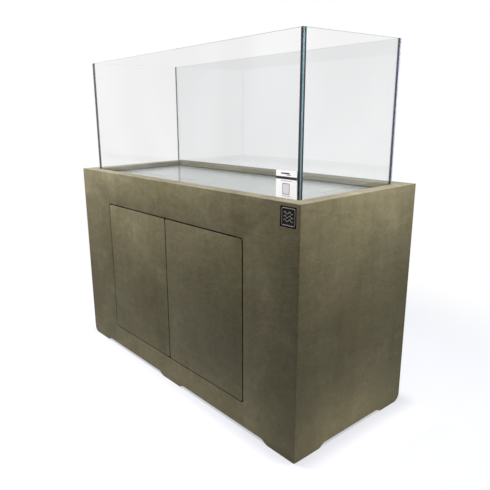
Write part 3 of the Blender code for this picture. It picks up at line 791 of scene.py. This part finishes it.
def build_walls(coat, inside):
    """One shell, cut at its mitres into the four walls with their rim strips."""
    shell = mesh_object("cement_walls", wall_block(), coat, inside)
    cut_inside(shell)
    cut_feet(shell)
    cut_openings(shell)
    ease_openings(shell)
    cut_badge_pocket(shell)
    paint_inside(shell)
    for side, panel in WALL_PANELS.items():
        wall = shell.copy()
        wall.data = shell.data.copy()
        wall.name = f"cement_wall_{side}"
        bpy.context.scene.collection.objects.link(wall)
        cut(wall, mitre_wedge(side), "INTERSECT")
        smooth(wall)
        stands_for(wall, ROOT, "cement_finish", panel, f"rim_strip_{side}")
    bpy.data.objects.remove(shell)


def build_door(side, coat, inside):
    """The modelled door, with its edges and back in the painted shade."""
    bm = bmesh.new()
    bm.from_mesh(NODES[f"door_{side}"].data)
    bm.transform(NODES[f"door_{side}"].matrix_world)
    bmesh.ops.remove_doubles(bm, verts=bm.verts, dist=MERGE)
    bmesh.ops.dissolve_limit(bm, angle_limit=math.radians(1), verts=bm.verts, edges=bm.edges)
    door = mesh_object(f"cement_door_{side}", bm, coat, inside)
    paint_door_edges(door)
    smooth(door)
    stands_for(door, f"{side}_door", "cement_finish", f"door_{side}")


# ---- Tank ----
def build_corner_seam(side, sign_x, end, sign_y, rubber):
    """The joint between two panes and the bead that fills the corner inside it."""
    outer = Vector((TANK_HIGH.x, TANK_HIGH.y))
    inner_x, inner_y = outer.x - GLASS, outer.y - GLASS
    steps = 8
    fillet = WIDE_FILLET if (end, side) == ("front", "right") else FILLET
    near_x, near_y = inner_x - SEAM_GAP, inner_y - SEAM_GAP
    points = [(outer.x, SIDE_PANE_END + SEAM_GAP), (outer.x, near_y), (inner_x - fillet, near_y)]
    for k in range(1, steps):
        angle = math.pi / 2 * k / steps
        along, across = math.sin(angle) - 1, math.cos(angle) - 1
        points.append((inner_x + fillet * along, near_y + fillet * across))
    points += [(near_x, inner_y - fillet), (near_x, SIDE_PANE_END + SEAM_GAP)]
    outline = [(sign_x * x, sign_y * y) for x, y in points]
    bm = prism_mesh(outline, "Z", PANE_BASE, TANK_HIGH.z - SEAM_END_GAP)
    seam = mesh_object(f"seam_{end}_{side}", bm, rubber)
    smooth(seam)
    stands_for(seam, ROOT, "black_silicone", f"silicone_{end}_{side}")


def base_seam_profile():
    """The seam's section as (inset from the tank's face, height) points."""
    low, high = FLOOR_TOP + SEAM_GAP, PANE_BASE - SEAM_GAP
    profile = [(GLASS + SEAM_END_GAP, low), (GLASS + BASE_FILLET, low)]
    steps = 6
    for k in range(1, steps + 1):
        angle = math.pi / 2 * k / steps
        inset = GLASS + SEAM_GAP + BASE_FILLET * (1 - math.sin(angle))
        profile.append((inset, low + BASE_FILLET * (1 - math.cos(angle))))
    return profile + [(GLASS + SEAM_GAP, high), (0, high), (0, low)]


def build_base_seam(rubber):
    """The bead under the wall panes and the one round the floor inside them."""
    profile = base_seam_profile()
    bm = bmesh.new()
    rings = []
    for sx, sy in ((-1, -1), (1, -1), (1, 1), (-1, 1)):
        ring = []
        for inset, z in profile:
            ring.append(bm.verts.new((sx * (TANK_HIGH.x - inset), sy * (TANK_HIGH.y - inset), z)))
        rings.append(ring)
    count = len(profile)
    for first, second in zip(rings, rings[1:] + rings[:1]):
        for k in range(count):
            bm.faces.new((first[k], first[(k + 1) % count], second[(k + 1) % count], second[k]))
    bmesh.ops.remove_doubles(bm, verts=bm.verts, dist=MERGE)
    seam = mesh_object("seam_base", bm, rubber)
    smooth(seam)
    stands_for(seam, ROOT, "black_silicone", "silicone_base")


def build_mat(material):
    """The foam sheet under the tank, its edges pressed round by the glass."""
    bm = box_mesh(MAT_LOW, MAT_HIGH)
    bevel(bm, sharp_edges(bm), MAT_ROUND, 3)
    mat = mesh_object("foam_mat", bm, material)
    smooth(mat)
    stands_for(mat, ROOT, "white_foam", "levelling_mat")


# ---- Badge and label ----
def add_line(relief, points, closed=False):
    """A raised line through (x, z) points on the badge's face."""
    spline = relief.splines.new("POLY")
    spline.points.add(len(points) - 1)
    for point, (x, z) in zip(spline.points, points):
        point.co = (x, BADGE_LOW.y, z, 1)
    spline.use_cyclic_u = closed


def badge_relief():
    """Three waves, one above the other, inside a plain border."""
    relief = bpy.data.curves.new("badge_relief", "CURVE")
    relief.dimensions = "3D"
    relief.bevel_depth = RELIEF_RADIUS
    relief.bevel_resolution = 2
    relief.use_fill_caps = True
    size = BADGE_HIGH.x - BADGE_LOW.x
    centre = (BADGE_LOW + BADGE_HIGH) / 2
    steps = 28
    for row in (-1, 0, 1):
        wave = []
        for k in range(steps + 1):
            along = (k / steps - 0.5) * size * WAVE_LENGTH
            rise = math.sin(k / steps * 4 * math.pi) * size * WAVE_HEIGHT
            wave.append((centre.x + along, centre.z + row * size * WAVE_SPACING + rise))
        add_line(relief, wave)
    border = (size * BORDER_SIZE, size * BORDER_SIZE)
    add_line(relief, rounded_rectangle((centre.x, centre.z), border, BORDER_CORNER, 4), closed=True)
    return relief


def build_badge(ground, proud):
    """A square plate with a plain raised border and three waves."""
    bm = box_mesh(BADGE_LOW, BADGE_HIGH)
    bevel(bm, sharp_edges(bm), BADGE_ROUND, 2)
    plate = mesh_object("badge", bm, ground)
    figure = bpy.data.objects.new("badge_relief", badge_relief())
    figure.data.materials.append(proud)
    bpy.context.scene.collection.objects.link(figure)
    stands_for(plate, ROOT, "dark_bronze", "badge_plate")
    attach(figure, ROOT)


def build_label(white, finishes):
    """A paper label with a bar across it, a plain square in a frame and four lines."""
    low, high = LABEL_LOW, LABEL_HIGH
    width, height = high.x - low.x, high.z - low.z
    middle = ((low.x + high.x) / 2, (low.z + high.z) / 2)
    outline = rounded_rectangle(middle, (width, height), SHEET_CORNER, 4)
    sheet = mesh_object("label", prism_mesh(outline, "Y", low.y + SHEET_FACE, high.y), white)
    stands_for(sheet, ROOT, "white_paper", "info_label")
    for name, (u, v), (across, up), finish in LABEL_MARKS:
        front = low.y if name == "label_square" else low.y + MARK_FACE
        size = (width * across, height * up)
        middle = (low.x + width * u, low.z + height * v)
        shape = rounded_rectangle(middle, size, min(size) * MARK_CORNER, 3)
        mark = mesh_object(name, prism_mesh(shape, "Y", front, low.y + MARK_BACK), finishes[finish])
        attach(mark, ROOT)


# ---- Modelled pieces that keep their shape ----
def finish_node(name, *materials):
    obj = NODES[name]
    obj.data.materials.clear()
    for made in materials:
        obj.data.materials.append(made)


def finish_nodes():
    flat_board = board("birch_ply_flat", "Z", "X")
    upright_board = board("birch_ply_upright", "X", "Y")
    batten = board("birch_batten_long", "Z", "X")
    short_batten = board("birch_batten_short", "Z", "Y")
    steel = metal("satin_steel", (0.46, 0.46, 0.47), (0.62, 0.62, 0.63), 0.30)
    brass = metal("brass_bush", (0.50, 0.36, 0.15), (0.68, 0.52, 0.26), 0.34)
    grey = plastic()
    panes = {
        "glass_front": pane_glass("clear_glass_front", "Y", PANE_TINT, EDGE_TEAL, True),
        "glass_back": pane_glass("clear_glass_back", "Y", BACK_TINT, EDGE_BLUE, True),
        "glass_left": pane_glass("clear_glass_side", "X", PANE_TINT, EDGE_DARK, False),
        "glass_floor": pane_glass("clear_glass_floor", "Z", FLOOR_GLASS_TINT, EDGE_TEAL, False, 0.18),
    }
    panes["glass_right"] = panes["glass_left"]
    for name in NODES:
        if name in ("top_deck", "base_panel"):
            finish_node(name, flat_board)
        elif name in ("centre_partition", "base_joist_centre"):
            finish_node(name, upright_board)
        elif name in ("deck_batten_left", "deck_batten_right"):
            finish_node(name, short_batten)
        elif "batten" in name:
            finish_node(name, batten)
        elif name.startswith(("pivot_pin", "strike_disc", "latch_plunger")):
            finish_node(name, steel)
        elif name.startswith("pivot_bush"):
            finish_node(name, brass)
        elif name.startswith("latch_body"):
            finish_node(name, grey)
        elif name in panes:
            finish_node(name, panes[name])


def main():
    add_camera()
    add_world()
    add_floor()
    for light in LIGHTS:
        add_area_light(*light)
    coat = cement()
    rubber = silicone()
    # inside: the near-black painted shade for the gaps and the cabinet's inside
    inside = gap_shade_board()
    build_walls(coat, inside)
    for side in ("left", "right"):
        build_door(side, coat, inside)
    for side, sign_x in (("left", -1), ("right", 1)):
        for end, sign_y in (("front", -1), ("back", 1)):
            build_corner_seam(side, sign_x, end, sign_y, rubber)
    build_base_seam(rubber)
    build_mat(foam())
    build_badge(bronze("bronze_ground", (0.010, 0.009, 0.008), (0.032, 0.030, 0.026)),
                bronze("bronze_proud", (0.16, 0.15, 0.13), (0.24, 0.225, 0.20)))
    build_label(paper("label_paper", (0.80, 0.80, 0.735), (0.77, 0.77, 0.71)),
                {"ink": paper("label_ink", (0.02, 0.02, 0.02), (0.035, 0.033, 0.03)),
                 "faint": paper("label_faint", (0.20, 0.20, 0.195), (0.26, 0.26, 0.25)),
                 "grey": paper("label_grey", (0.55, 0.55, 0.54), (0.60, 0.60, 0.585))})
    finish_nodes()
    bpy.context.scene.view_settings.view_transform = "Standard"


main()
